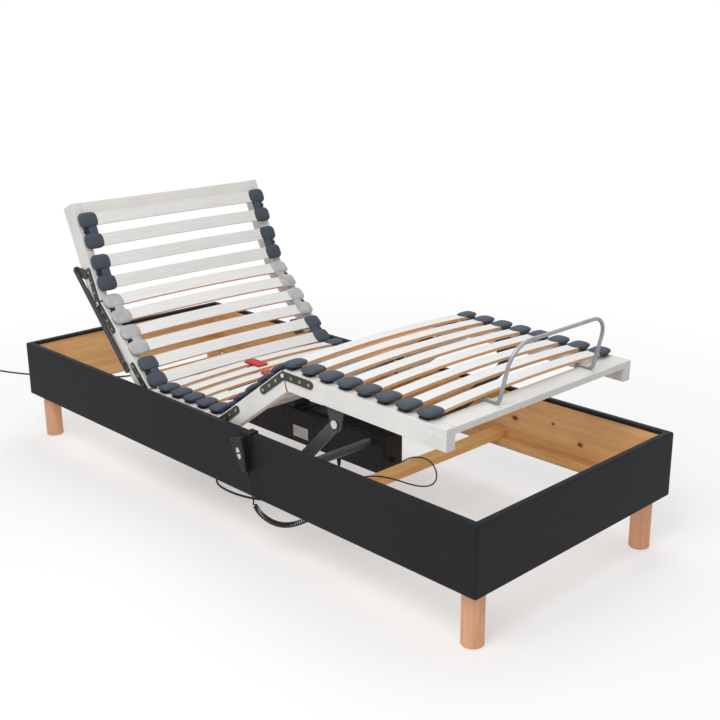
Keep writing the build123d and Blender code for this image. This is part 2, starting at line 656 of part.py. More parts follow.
def curl_points(route, per_turn):
    """Points and directions of a helix along a spline, with its radius growing from the line at both ends."""
    spans = len(route) - 2
    grid = np.linspace(0, spans, 801)
    line = np.array([spline_point(route, t) for t in grid])
    steps = np.linalg.norm(np.diff(line, axis=0), axis=1)
    arc = np.concatenate([[0], np.cumsum(steps)])
    straight = 2 * CORD
    turns = round((arc[-1] - 2 * straight) / CURL_PITCH)
    directions = np.gradient(line, arc, axis=0)
    directions /= np.linalg.norm(directions, axis=1)[:, None]
    across = unit(np.cross(directions[0], (0, 0, 1.0)))
    frames = []
    for d in directions:
        across = unit(across - np.dot(across, d) * d)
        frames.append(across)
    frames = np.array(frames)

    def at(s):
        f = min(max((s - straight) / (arc[-1] - 2 * straight), 0), 1)
        turn = f * turns
        ramp = min(turn, turns - turn, 1.5) / 1.5
        radius = CURL * ramp * ramp * (3 - 2 * ramp)
        centre = np.array([np.interp(s, arc, line[:, k]) for k in range(3)])
        d = unit(np.array([np.interp(s, arc, directions[:, k]) for k in range(3)]))
        a = np.array([np.interp(s, arc, frames[:, k]) for k in range(3)])
        a = unit(a - np.dot(a, d) * d)
        angle = 2 * math.pi * turn
        return centre + radius * (math.cos(angle) * a + math.sin(angle) * np.cross(d, a))

    stations = np.concatenate([[0], np.linspace(straight, arc[-1] - straight, turns * per_turn + 1), [arc[-1]]])
    points = [at(s) for s in stations]
    tangents = []
    for s in stations:
        low = max(s - 0.02, 0)
        high = min(s + 0.02, arc[-1])
        if abs(s - straight) < 0.05:
            low, high = s - 0.02, s
        if abs(s - arc[-1] + straight) < 0.05:
            low, high = s, s + 0.02
        tangents.append(unit(at(high) - at(low)))
    fine = np.array([at(s) for s in np.linspace(0, arc[-1], turns * 40)])
    return points, tangents, fine


def self_gap(fine, radius, apart):
    """Least gap of a wound tube to itself, between points further apart along it than given."""
    run = np.concatenate([[0], np.cumsum(np.linalg.norm(np.diff(fine, axis=0), axis=1))])
    least = 1e9
    for k in range(len(fine)):
        later = run - run[k] > apart
        if later.any():
            least = min(least, np.min(np.linalg.norm(fine[later] - fine[k], axis=1)))
    return least - 2 * radius


def wound(name, points, tangents, fine, radius, apart):
    path = Wire(biarc_path(points, tangents))
    start = Plane(points[0].tolist(), z_dir=tangents[0].tolist())
    body = sweep(start * Circle(radius), path=path)
    expected = math.pi * radius ** 2 * path.length
    print(name, "volume ratio", round(body.volume / expected, 4), "length", round(path.length),
          "least gap to itself", round(self_gap(fine, radius, apart), 3), "valid", body.is_valid)
    return body


points, tangents, fine = curl_points(CURL_ROUTE, 4)
curl = wound("curly_cord", points, tangents, fine, CORD, 16)
save("curly_cord", [curl])

boss_end = HANDSET * Pos(0, -412, -61)
lead_start = (boss_end.position.X, boss_end.position.Y, boss_end.position.Z)
HANDSET_LEAD = [lead_start, (226.4, -412, 190.2), CURL_ROUTE[0]]
CORD_TAIL = [CURL_ROUTE[-1], (404.9, -323.5, 140.8), (410, -296, 163), (411, -268, 185), (416, -238, 203),
             (428, -206, 210), (444, -175, 210), (461, -146, 205), (483, -115, 192), (505, -83, 175),
             (520, -48, 162), (524, -14, 159), (514, 13, 169), (494, 27, 188), (468, 28, 205),
             (440, 16, 209), (414, 3, 201), (393, -4, 182), (372, -4, 182)]
save("handset_lead", [tube("handset_lead", HANDSET_LEAD, CORD), tube("cord_tail", CORD_TAIL, CORD)])

FLOOR = LEAD + 0.05
MAINS = [(158, -26, 112), (158, -26, 84), (154, -34, 55), (144, -52, 26), (122, -84, 7), (86, -124, FLOOR),
         (40, -168, FLOOR), (-14, -204, FLOOR), (-74, -224, FLOOR), (-134, -228, FLOOR), (-190, -220, FLOOR),
         (-230, -192, FLOOR), (-246, -150, FLOOR), (-250, -96, FLOOR), (-264, -34, FLOOR), (-304, 26, FLOOR),
         (-362, 74, FLOOR), (-434, 110, FLOOR), (-512, 132, FLOOR), (-592, 146, FLOOR), (-672, 164, FLOOR),
         (-750, 190, FLOOR), (-828, 222, FLOOR), (-904, 262, FLOOR), (-978, 304, FLOOR), (-1050, 352, FLOOR),
         (-1118, 392, FLOOR), (-1182, 416, FLOOR), (-1226, 388, FLOOR), (-1258, 324, FLOOR), (-1286, 256, FLOOR),
         (-1308, 190, FLOOR), (-1340, 130, FLOOR), (-1392, 72, FLOOR), (-1456, 18, FLOOR), (-1526, -34, FLOOR),
         (-1600, -82, FLOOR), (-1672, -122, FLOOR), (-1744, -154, FLOOR), (-1818, -175, FLOOR)]
save("mains_lead", [tube("mains_lead", MAINS, LEAD)])

# Spare length of the mains lead, laid in two layers of loops that spiral in and out again
COIL_OUT = 45.0
COIL_STEP = 7.4
COIL_TURNS = 1.75


def coil_points():
    """Loops from the end of the lead: in on the floor, up a layer, and out on top to a straight end."""
    last = np.array(MAINS[-1])
    heading = unit(last - np.array(MAINS[-2]))
    left = np.array([-heading[1], heading[0], 0.0])
    begin = last + heading * 2 * LEAD
    centre = begin + left * COIL_OUT
    base = math.atan2(begin[1] - centre[1], begin[0] - centre[0])

    total = 2 * COIL_TURNS + 0.5

    def at(turn):
        radius = COIL_OUT - COIL_STEP * min(turn, total - turn)
        climb = min(max((turn - COIL_TURNS) / 0.5, 0), 1)
        rise = (2 * LEAD + 0.6) * climb * climb * (3 - 2 * climb)
        angle = base + 2 * math.pi * turn
        return centre + np.array([radius * math.cos(angle), radius * math.sin(angle), rise])

    stations = np.linspace(0, total, int(total * 8) + 1)
    points = [last] + [at(t) for t in stations]
    tangents = [heading, heading]
    for t in stations[1:]:
        tangents.append(unit(at(t + 1e-3) - at(t - 1e-3)))
    away = unit(tangents[-1] * (1, 1, 0))
    points.append(points[-1] + away * 60 + np.array([0, 0, 6.3 - points[-1][2]]))
    tangents.append(away)
    points.append(points[-1] + away * 2 * LEAD)
    tangents.append(away)
    fine = np.array([at(t) for t in np.linspace(0, total, 700)])
    return points, tangents, fine


points, tangents, fine = coil_points()
coil = wound("mains_coil", points, tangents, fine, LEAD, 60)
save("mains_coil", [coil])

# Flat two-pin plug on the end of the coil
plug_at = Plane(points[-1].tolist(), x_dir=(0, 0, 1), z_dir=tangents[-1].tolist())
plug_body = Pos(0, 0, 20) * Box(12, 32, 30)
plug_body = fillet(plug_body.edges().filter_by(Axis.Z), 5)
plug_body = fillet(plug_body.edges().group_by(Axis.Z)[0], 4)
plug_body += Pos(0, 0, 3) * Cone(LEAD + 0.6, 5.0, 6)
for side in (-1, 1):
    plug_body += Pos(0, side * 9.3, 44.5) * Cylinder(2.0, 19)
save("mains_plug", [plug_at * plug_body])
print("plug", [round(v, 1) for v in plug_at.origin], [round(v, 3) for v in plug_at.z_dir])
print("pivots", [round(v, 3) for v in HEAD_PIVOT + KNEE])
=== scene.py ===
import json
import math

import bpy
import numpy as np
from mathutils import Matrix, Vector


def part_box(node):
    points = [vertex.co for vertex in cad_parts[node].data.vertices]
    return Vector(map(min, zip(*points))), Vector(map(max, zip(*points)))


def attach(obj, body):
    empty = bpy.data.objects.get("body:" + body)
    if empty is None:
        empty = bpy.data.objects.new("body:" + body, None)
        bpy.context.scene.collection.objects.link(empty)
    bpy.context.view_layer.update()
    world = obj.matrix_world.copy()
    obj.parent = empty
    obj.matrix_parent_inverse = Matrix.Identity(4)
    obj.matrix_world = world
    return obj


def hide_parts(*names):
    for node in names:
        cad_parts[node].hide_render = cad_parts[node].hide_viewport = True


bl_info = {
    "name": "Adjustable bed base",
    "version": (1, 0, 0),
    "blender": (4, 5, 0),
    "location": "View3D > Sidebar > Bed base",
    "description": "Finishes, leads, label and studio for an adjustable slatted bed base",
    "category": "Object",
}

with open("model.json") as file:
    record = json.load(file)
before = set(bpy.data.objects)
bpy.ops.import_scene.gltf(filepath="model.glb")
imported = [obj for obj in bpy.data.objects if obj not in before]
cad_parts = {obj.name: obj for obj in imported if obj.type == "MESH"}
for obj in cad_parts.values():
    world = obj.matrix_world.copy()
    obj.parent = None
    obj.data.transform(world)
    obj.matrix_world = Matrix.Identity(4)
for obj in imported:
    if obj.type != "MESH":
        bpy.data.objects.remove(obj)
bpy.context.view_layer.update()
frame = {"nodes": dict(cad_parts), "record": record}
NODES = frame["nodes"]
JOINTS = {joint["name"]: joint for joint in frame["record"]["behaviour"]["joints"]}

# Lean of each section in degrees, and whether it runs towards the head (-1) or the foot (+1)
LEAN = {"seat": (0.0, 1), "back": (43.6, -1), "head": (65.6, -1), "thigh": (35.7, 1), "calf": (-1.5, 1)}
PIVOT = {
    "seat": JOINTS["back_hinge"]["pos_m"],
    "back": JOINTS["back_hinge"]["pos_m"],
    "head": JOINTS["head_tilt"]["pos_m"],
    "thigh": JOINTS["thigh_hinge"]["pos_m"],
    "calf": JOINTS["knee_hinge"]["pos_m"],
}


def section_axes(section):
    """Unit vectors along a section away from its pivot and square to its slats."""
    angle, way = LEAN[section]
    a = math.radians(angle)
    return (way * math.cos(a), 0.0, math.sin(a)), (-way * math.sin(a), 0.0, math.cos(a))


class Socket:
    """A shader socket that takes part in sums, products and comparisons."""

    def __init__(self, owner, socket):
        self.owner = owner
        self.socket = socket

    def math(self, operation, *others):
        values = dict(enumerate((self,) + others))
        return self.owner.node("ShaderNodeMath", {"operation": operation}, values)

    def __add__(self, other):
        return self.math("ADD", other)

    def __radd__(self, other):
        return self.math("ADD", other)

    def __sub__(self, other):
        return self.math("SUBTRACT", other)

    def __rsub__(self, other):
        return self.owner.node("ShaderNodeMath", {"operation": "SUBTRACT"}, {0: other, 1: self})

    def __mul__(self, other):
        return self.math("MULTIPLY", other)

    def __rmul__(self, other):
        return self.math("MULTIPLY", other)

    def __gt__(self, other):
        return self.math("GREATER_THAN", other)

    def __lt__(self, other):
        return self.math("LESS_THAN", other)

    def __abs__(self):
        return self.math("ABSOLUTE")

    def sine(self):
        return self.math("SINE")

    def root(self):
        return self.math("SQRT")

    def most(self, other):
        return self.math("MAXIMUM", other)

    def ramp(self, low, high):
        """0 below low, 1 above high, straight between."""
        return self.owner.node("ShaderNodeMapRange", {"clamp": True}, {0: self, 1: low, 2: high, 3: 0.0, 4: 1.0})


class Tree:
    """A shader tree whose nodes are made in one call each."""

    def __init__(self, tree):
        self.tree = tree

    def node(self, kind, settings, values, output=0):
        made = self.tree.nodes.new(kind)
        for key, value in settings.items():
            setattr(made, key, value)
        for key, value in values.items():
            self.put(made.inputs[key], value)
        return Socket(self, made.outputs[output])

    def put(self, target, value):
        if isinstance(value, Socket):
            self.tree.links.new(value.socket, target)
        elif target.type == "RGBA" and len(value) == 3:
            target.default_value = (*value, 1.0)
        else:
            target.default_value = value

    def seen(self):
        """1 for rays from the camera, and for those that it sees by reflection or through glass."""
        rays = self.tree.nodes.new("ShaderNodeLightPath").outputs
        camera, glossy, through = (Socket(self, rays["Is %s Ray" % kind])
                                   for kind in ("Camera", "Glossy", "Transmission"))
        return camera.most(glossy).most(through)

    def show(self, factor, first, second, end):
        """Sends a mix of two shaders to the tree's output."""
        blend = self.node("ShaderNodeMixShader", {}, {0: factor, 1: first, 2: second})
        self.put(self.tree.nodes[end].inputs["Surface"], blend)


class Paint(Tree):
    """A procedural material built from one Principled shader and socket sums."""

    def __init__(self, name):
        self.material = bpy.data.materials.new(name)
        self.material.use_nodes = True
        super().__init__(self.material.node_tree)
        self.shader = self.tree.nodes["Principled BSDF"]
        self.place = self.node("ShaderNodeTexCoord", {}, {}, "Object")
        self.facing = self.node("ShaderNodeTexCoord", {}, {}, "Normal")

    def set(self, **values):
        for key, value in values.items():
            self.put(self.shader.inputs[key.replace("_", " ")], value)
        return self.material

    def dot(self, vector, axis):
        return self.node("ShaderNodeVectorMath", {"operation": "DOT_PRODUCT"}, {0: vector, 1: axis}, "Value")

    def axis(self, k):
        return self.dot(self.place, tuple(float(k == j) for j in range(3)))

    def scaled(self, factors):
        return self.node("ShaderNodeVectorMath", {"operation": "MULTIPLY"}, {0: self.place, 1: factors})

    def turned(self, section, factors):
        """Place in a section's own axes: along it, across the bed, and square to its slats."""
        along, high = section_axes(section)
        parts = {0: self.dot(self.place, along) * factors[0], 1: self.axis(1) * factors[1],
                 2: self.dot(self.place, high) * factors[2]}
        return self.node("ShaderNodeCombineXYZ", {}, parts)

    def noise(self, vector, scale, detail=4.0, rough=0.55):
        return self.node("ShaderNodeTexNoise", {}, {"Vector": vector, "Scale": scale, "Detail": detail,
                                                    "Roughness": rough})

    def cells(self, vector, scale):
        return self.node("ShaderNodeTexVoronoi", {"feature": "F1"}, {"Vector": vector, "Scale": scale})

    def mix(self, factor, first, second):
        return self.node("ShaderNodeMix", {"data_type": "RGBA"}, {0: factor, 6: first, 7: second}, 2)

    def mottled(self, cloud, first, second):
        """Two screen colours blended by a cloudy noise."""
        return self.mix(cloud.ramp(0.3, 0.75), linear(first), linear(second))

    def bump(self, height, strength, distance):
        return self.node("ShaderNodeBump", {}, {"Strength": strength, "Distance": distance, "Height": height})


def linear(rgb):
    """Colour as seen on screen, 0 to 255, as the light values that a shader takes."""
    c = np.array(rgb, float) / 255.0
    return tuple(np.where(c <= 0.04045, c / 12.92, ((c + 0.055) / 1.055) ** 2.4).tolist())


def lifted(shade, factor):
    """A paler step of a screen colour."""
    return [min(255, v * factor + 5) for v in shade]


def dress(material, *nodes):
    """Gives CAD pieces their finish."""
    for node in nodes:
        for place in NODES[node].material_slots:
            place.material = material


def height_over(paint, section):
    """Height of a point over the line through a section's pivot, square to its slats."""
    axis = section_axes(section)[1]
    base = sum(p * a for p, a in zip(PIVOT[section], axis))
    return paint.dot(paint.place, axis) - base


# Fine lines drawn as sines, radians for each metre
FOIL_LINES, SLAT_PLIES, CAP_RIBS = 3400.0, 5200.0, 2400.0


def white_paint(section, props, ends=True):
    """White lacquer over softwood: faint grain along the rail, bare wood on the end faces at the hinges."""
    paint = Paint(("white lacquer " if ends else "white board ") + section)
    grain = paint.noise(paint.turned(section, (6.0, 60.0, 60.0)), 3.0)
    cloud = paint.noise(paint.place, 9.0, 2.0)
    base = paint.mix(cloud.ramp(0.35, 0.7), linear(props.rail_white), linear((219, 218, 214)))
    base = paint.mix(grain.ramp(0.55, 0.8) * 0.35, base, linear((205, 203, 196)))
    if ends:
        lean = paint.dot(paint.facing, section_axes(section)[0])
        end = lean < -0.8 if section in ("head", "calf") else abs(lean) > 0.8
        rings = paint.noise(paint.turned(section, (10.0, 140.0, 60.0)), 3.0)
        raw = paint.mix(rings.ramp(0.3, 0.7), linear((208, 158, 106)), linear((180, 120, 70)))
        base = paint.mix(end, base, raw)
    return paint.set(Base_Color=base, Roughness=0.42 + 0.12 * grain, Normal=paint.bump(grain, 0.12, 0.0006))


def slat_foil(section, props):
    """Pale foil with fine lines on the broad faces of a slat, glued beech layers on its edges."""
    paint = Paint("slat foil " + section)
    along, high = section_axes(section)
    lines = (paint.dot(paint.place, along) * FOIL_LINES).sine()
    grain = paint.noise(paint.turned(section, (300.0, 5.0, 40.0)), 2.0)
    foil = paint.mix(grain.ramp(0.4, 0.75), linear(props.slat_white), linear((206, 206, 203)))
    foil = paint.mix(lines.ramp(0.2, 1.0) * 0.22, foil, linear((186, 187, 186)))
    plies = (height_over(paint, section) * SLAT_PLIES).sine()
    fibre = paint.noise(paint.turned(section, (200.0, 9.0, 240.0)), 2.0)
    beech = paint.mix(plies.ramp(-0.4, 0.4), linear((230, 180, 132)), linear((214, 158, 108)))
    beech = paint.mix(fibre.ramp(0.45, 0.75) * 0.6, beech, linear((236, 192, 146)))
    broad = abs(paint.dot(paint.facing, high)) > 0.75
    colour = paint.mix(broad, beech, foil)
    height = lines * 0.4 + grain
    return paint.set(Base_Color=colour, Roughness=0.5, Normal=paint.bump(height, 0.15, 0.0004))


def cap_rubber(name, section, shade):
    """Rubber of a slat cap: fine ribs along the section on the upper face with painted shade in their grooves,
    slightly chalky with handling.
    """
    paint = Paint(name)
    rib = (paint.axis(1) * CAP_RIBS).sine()
    top = paint.dot(paint.facing, section_axes(section)[1]).ramp(0.35, 0.8)
    cloud = paint.noise(paint.place, 40.0, 4.0)
    body = paint.mottled(cloud, shade, lifted(shade, 1.16))
    # painted shade: the rib grooves on the upper face are mixed towards a darker step of the rubber's colour
    body = paint.mix(rib.ramp(-0.2, 0.9) * top * 0.45, body, linear([v * 0.66 for v in shade]))
    height = rib * top * -1.0 + cloud * 0.3
    return paint.set(Base_Color=body, Roughness=0.5 + 0.2 * cloud, Normal=paint.bump(height, 0.5, 0.0007))


def knotted(paint, colour, places):
    """Dark round knots with a ring of disturbed grain at given places on a board's face, x and z in metres."""
    for x, z, size in places:
        dx = paint.axis(0) - x
        dz = (paint.axis(2) - z) * 1.35
        reach = (dx * dx + dz * dz).root() * (1 / size)
        ring = (reach * 9.0).sine() * 0.5 + 0.5
        halo = (1.0 - reach.ramp(1.0, 2.6)) * ring * 0.35
        colour = paint.mix(halo, colour, linear((168, 112, 62)))
        colour = paint.mix(1.0 - reach.ramp(0.75, 1.05), colour, linear((118, 70, 40)))
    return colour


def bare_wood(name, light, dark, factors, knots=()):
    """Softwood: stretched grain with darker late-wood streaks, and knots where a board has them."""
    paint = Paint(name)
    waves = paint.noise(paint.scaled(factors), 2.2, 5.0, 0.6)
    fine = paint.noise(paint.scaled(tuple(6 * f for f in factors)), 3.0, 3.0)
    colour = paint.mix(waves.ramp(0.3, 0.72), linear(light), linear(dark))
    colour = paint.mix(fine.ramp(0.5, 0.8) * 0.4, colour, linear([v * 0.8 for v in dark]))
    colour = knotted(paint, colour, knots)
    return paint.set(Base_Color=colour, Roughness=0.55 + 0.2 * fine, Normal=paint.bump(waves + fine, 0.2, 0.0008))


def leatherette(props):
    """Black leatherette: pebbled grain in small cells with a painted highlight on each pebble, a soft sheen and slight
    unevenness over the padding.
    """
    paint = Paint("black leatherette")
    pebbles = paint.cells(paint.place, 520.0)
    folds = paint.noise(paint.scaled((5.0, 5.0, 9.0)), 2.0, 3.0)
    tone = paint.noise(paint.place, 14.0, 3.0)
    colour = paint.mottled(tone, props.leatherette, (25, 26, 30))
    # painted highlight: the middle of each pebble cell is mixed towards a paler grey
    colour = paint.mix((1.0 - pebbles.ramp(0.1, 0.5)) * 0.25, colour, linear((36, 37, 41)))
    rough = 0.55 + 0.15 * tone
    paint.set(Specular_IOR_Level=0.22)
    first = paint.bump(pebbles, 0.5, 0.0006)
    second = paint.node("ShaderNodeBump", {}, {"Strength": 0.25, "Distance": 0.004, "Height": folds, "Normal": first})
    return paint.set(Base_Color=colour, Roughness=rough, Normal=second)


def steel(name, shade, rough, metallic=0.0):
    """Coated or bare steel with a fine orange-peel."""
    paint = Paint(name)
    peel = paint.noise(paint.place, 420.0, 2.0)
    cloud = paint.noise(paint.place, 18.0, 3.0)
    colour = paint.mottled(cloud, shade, lifted(shade, 1.15))
    return paint.set(Base_Color=colour, Metallic=metallic, Roughness=rough + 0.1 * cloud,
                     Normal=paint.bump(peel, 0.12, 0.0003))


# Metres: the straps' outer face from the middle of the bed, half a rivet row, round a pin, and the lever's disc
STRAP_FACE, RIVET_HALF, PIN_REACH, DISC_FACE = 0.36906, 0.0052, 0.0075, 0.3364


def strap_steel(name, section, pivots):
    """Black strap whose rivet heads stand out in brass and whose pivot pins are bright steel."""
    paint = Paint(name)
    level = abs(height_over(paint, section)) < RIVET_HALF
    proud = (abs(paint.axis(1)) > STRAP_FACE) * level
    near = None
    for pivot in pivots:
        dx = paint.axis(0) - pivot[0]
        dz = paint.axis(2) - pivot[2]
        inside = (dx * dx + dz * dz).root() < PIN_REACH
        near = inside if near is None else near.most(inside)
    cloud = paint.noise(paint.place, 60.0, 3.0)
    black = paint.mottled(cloud, (30, 30, 33), (52, 53, 57))
    brass = paint.mottled(cloud, (150, 126, 62), (186, 160, 92))
    head = paint.mix(near, brass, linear((205, 207, 210)))
    colour = paint.mix(proud, black, head)
    return paint.set(Base_Color=colour, Metallic=proud * 0.5, Roughness=0.5 - 0.16 * proud,
                     Normal=paint.bump(cloud, 0.1, 0.0004))


def plastic(name, shade, rough, grain=900.0, strength=0.2):
    """Moulded plastic with a fine spark-eroded grain."""
    paint = Paint(name)
    fine = paint.noise(paint.place, grain, 2.0)
    cloud = paint.noise(paint.place, 25.0, 3.0)
    colour = paint.mottled(cloud, shade, lifted(shade, 1.14))
    paint.set(Specular_IOR_Level=0.3)
    return paint.set(Base_Color=colour, Roughness=rough + 0.12 * cloud, Normal=paint.bump(fine, strength, 0.0003))


def grid_mesh(name, points, faces, material, body):
    """Mesh from an array of points and an array of faces, riding on a body."""
    mesh = bpy.data.meshes.new(name)
    mesh.from_pydata(points.reshape(-1, 3).tolist(), [], faces.tolist())
    mesh.update()
    piece = bpy.data.objects.new(name, mesh)
    bpy.context.scene.collection.objects.link(piece)
    piece.data.materials.append(material)
    if body:
        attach(piece, body)
    return piece


def grid_faces(rows, columns, wrap=False):
    """Four-sided faces over a grid of rows by columns, closed round the columns where asked."""
    r = np.arange(rows - 1)[:, None]
    c = np.arange(columns if wrap else columns - 1)[None, :]
    n = (c + 1) % columns
    quads = np.stack(np.broadcast_arrays(r * columns + c, r * columns + n, (r + 1) * columns + n,
                                         (r + 1) * columns + c), axis=-1)
    return quads.reshape(-1, 4)


def nurbs(name, points, radius, fine, round_steps=5):
    """Open clamped spline of order three with the given control points; fine is the steps between them."""
    curve = bpy.data.curves.new(name, "CURVE")
    curve.dimensions = "3D"
    curve.resolution_u = fine
    spline = curve.splines.new("NURBS")
    spline.points.add(len(points) - 1)
    flat = np.c_[np.asarray(points, float), np.ones(len(points))]
    spline.points.foreach_set("co", flat.ravel())
    spline.order_u = 3
    spline.use_endpoint_u = True
    curve.bevel_depth = radius
    curve.bevel_resolution = round_steps
    curve.use_fill_caps = True
    return curve


def spline_points(points):
    """Points read off the smooth line through a route."""
    curve = nurbs("route", points, 0.0, 40)
    holder = bpy.data.objects.new("route", curve)
    mesh = bpy.data.meshes.new_from_object(holder)
    line = np.zeros(len(mesh.vertices) * 3)
    mesh.vertices.foreach_get("co", line)
    bpy.data.objects.remove(holder)
    bpy.data.curves.remove(curve)
    bpy.data.meshes.remove(mesh)
    return line.reshape(-1, 3)


# Routes in millimetres, as in the part's source
CURL_ROUTE = [(235, -411, 150), (239.4, -410.5, 129.5), (272, -405, 107), (312, -396, 98), (350, -381, 103),
              (381, -354, 119), (392, -340, 129)]
# Curl in metres: radius of the wire's middle, length of each eased end, plain ends, and spacing of its points
CURL_RADIUS, CURL_EASE, CURL_STRAIGHT, CURL_STEP = 0.0062, 0.020, 0.001, 0.0033
LEAD_START = [(217.86, -412, 213.68), (226.4, -412, 190.2)]
CORD_TAIL = [(404.9, -323.5, 140.8), (410, -296, 163), (411, -268, 185), (416, -238, 203), (428, -206, 210),
             (444, -175, 210), (461, -146, 205), (483, -115, 192), (505, -83, 175), (520, -48, 162), (524, -14, 159),
             (514, 13, 169), (494, 27, 188), (468, 28, 205), (440, 16, 209), (414, 3, 201), (393, -4, 182),
             (372, -4, 182)]
FLOOR = 3.3
MAINS = [(158, -26, 112), (158, -26, 84), (154, -34, 55), (144, -52, 26), (122, -84, 7), (86, -124, FLOOR),
         (40, -168, FLOOR), (-14, -204, FLOOR), (-74, -224, FLOOR), (-134, -228, FLOOR), (-190, -220, FLOOR),
         (-230, -192, FLOOR), (-246, -150, FLOOR), (-250, -96, FLOOR), (-264, -34, FLOOR), (-304, 26, FLOOR),
         (-362, 74, FLOOR), (-434, 110, FLOOR), (-512, 132, FLOOR), (-592, 146, FLOOR), (-672, 164, FLOOR),
         (-750, 190, FLOOR), (-828, 222, FLOOR), (-904, 262, FLOOR), (-978, 304, FLOOR), (-1050, 352, FLOOR),
         (-1118, 392, FLOOR), (-1182, 416, FLOOR), (-1226, 388, FLOOR), (-1258, 324, FLOOR), (-1286, 256, FLOOR),
         (-1308, 190, FLOOR), (-1340, 130, FLOOR), (-1392, 72, FLOOR), (-1456, 18, FLOOR), (-1526, -34, FLOOR),
         (-1600, -82, FLOOR), (-1672, -122, FLOOR), (-1744, -154, FLOOR), (-1818, -175, FLOOR)]


# Where the plug's tail stands, mm
PLUG_TAIL = np.array([-1888.7, -193.2, 6.3])
# Coil of the mains lead, mm: first radius, turns, points, step inwards for each turn, and rise to the second layer
COIL_RADIUS, COIL_TURNS, COIL_POINTS, COIL_STEP, COIL_RISE = 45.0, 4.0, 65, 7.4, 7.1
COIL_SLACK, COIL_LEAD = 1.012, 6.5
# The turn at which the lead climbs to the second layer, and for how much of a turn
CLIMB_START, CLIMB_TURNS = 1.75, 0.5
MM = 0.001


def lengths(line):
    """Length run at each point of a line."""
    return np.concatenate([[0], np.cumsum(np.linalg.norm(np.diff(line, axis=0), axis=1))])


def read_at(where, along, line):
    """Points of a line at given values of what runs along it."""
    return np.stack([np.interp(where, along, line[:, k]) for k in range(3)], axis=1)


def curl_points(props):
    """Helix about the curl's smooth line of length L. With e = min(s, L - s) / ease kept in 0..1 and
    h = e^2 (3 - 2 e), the radius is R h and the turns come in as h^2, so that the wire leaves the line
    in a long bend; points are evenly spaced along the wire."""
    line = spline_points(np.array(CURL_ROUTE) / 1000.0)
    arc = lengths(line)
    s = np.linspace(CURL_STRAIGHT, arc[-1] - CURL_STRAIGHT, 6001)
    centre = read_at(s, arc, line)
    along = read_at(s, arc, np.gradient(line, arc, axis=0))
    along /= np.linalg.norm(along, axis=1)[:, None]
    side = np.cross(along, (0.0, 0.0, 1.0))
    side /= np.linalg.norm(side, axis=1)[:, None]
    ease = np.clip(np.minimum(s - s[0], s[-1] - s) / CURL_EASE, 0, 1)
    swell = ease * ease * (3 - 2 * ease)
    angle = np.cumsum(swell ** 2) * (s[1] - s[0]) * 2 * np.pi / (props.curl_pitch * MM)
    radius = (CURL_RADIUS * swell)[:, None]
    wire = centre + radius * (np.cos(angle)[:, None] * side + np.sin(angle)[:, None] * np.cross(along, side))
    run = lengths(wire)
    return read_at(np.linspace(0, run[-1], round(run[-1] / CURL_STEP) + 1), run, wire)


def coil_points():
    """Two layers of loops that spiral in and out again from the end of the mains lead, and a straight end."""
    last = np.array(MAINS[-1])
    heading = last - np.array(MAINS[-2])
    heading = heading / np.linalg.norm(heading)
    left = np.array([-heading[1], heading[0], 0.0])
    begin = last + heading * COIL_LEAD
    centre = begin + left * COIL_RADIUS
    base = math.atan2(begin[1] - centre[1], begin[0] - centre[0])
    turn = np.linspace(0, COIL_TURNS, COIL_POINTS)
    radius = (COIL_RADIUS - COIL_STEP * np.minimum(turn, COIL_TURNS - turn)) * COIL_SLACK
    climb = np.clip((turn - CLIMB_START) / CLIMB_TURNS, 0, 1)
    rise = COIL_RISE * climb * climb * (3 - 2 * climb)
    angle = base + 2 * np.pi * turn
    loops = centre + np.stack([radius * np.cos(angle), radius * np.sin(angle), rise], axis=1)
    away = np.array([heading[0], heading[1], 0.0])
    out = loops[-1] + away * 22 + (0, 0, -1.2)
    return np.concatenate([loops, [out, PLUG_TAIL - away * 14, PLUG_TAIL]]), centre


class BedBaseProps(bpy.types.PropertyGroup):
    """Sizes and colours of the bed base's finishes."""

    rail_white: bpy.props.IntVectorProperty(name="Rail white", description="Lacquer of the rails, 0 to 255",
                                            default=(210, 209, 205), min=0, max=255)
    slat_white: bpy.props.IntVectorProperty(name="Slat white", description="Foil of the slats, 0 to 255",
                                            default=(226, 226, 224), min=0, max=255)
    cap_blue: bpy.props.IntVectorProperty(name="Cap blue", description="Blue-grey slat caps, 0 to 255",
                                          default=(45, 55, 69), min=0, max=255)
    cap_grey: bpy.props.IntVectorProperty(name="Cap grey", description="Light grey slat caps, 0 to 255",
                                          default=(170, 171, 171), min=0, max=255)
    leatherette: bpy.props.IntVectorProperty(name="Leatherette", description="Cover of the box, 0 to 255",
                                             default=(16, 17, 20), min=0, max=255)
    curl_pitch: bpy.props.FloatProperty(name="Curl pitch", description="Distance from curl to curl, mm",
                                        default=6.1, min=4.6, max=9.0)


class StudioProps(bpy.types.PropertyGroup):
    """Camera and light of the studio."""

    lens: bpy.props.FloatProperty(name="Lens", description="Focal length, mm", default=54.81, subtype="NONE")
    eye: bpy.props.FloatVectorProperty(name="Eye", description="Camera position", default=(2.37236, -2.07248, 1.37859),
                                       subtype="TRANSLATION", unit="LENGTH")
    turn: bpy.props.FloatVectorProperty(name="Turn", description="Azimuth, elevation and roll in degrees",
                                        default=(46.03, 17.32, -0.41))
    key: bpy.props.FloatProperty(name="Key light", description="Power of the large soft light, W", default=92.0)
    sky: bpy.props.FloatProperty(name="Sky", description="Strength of the surrounding light", default=0.5)


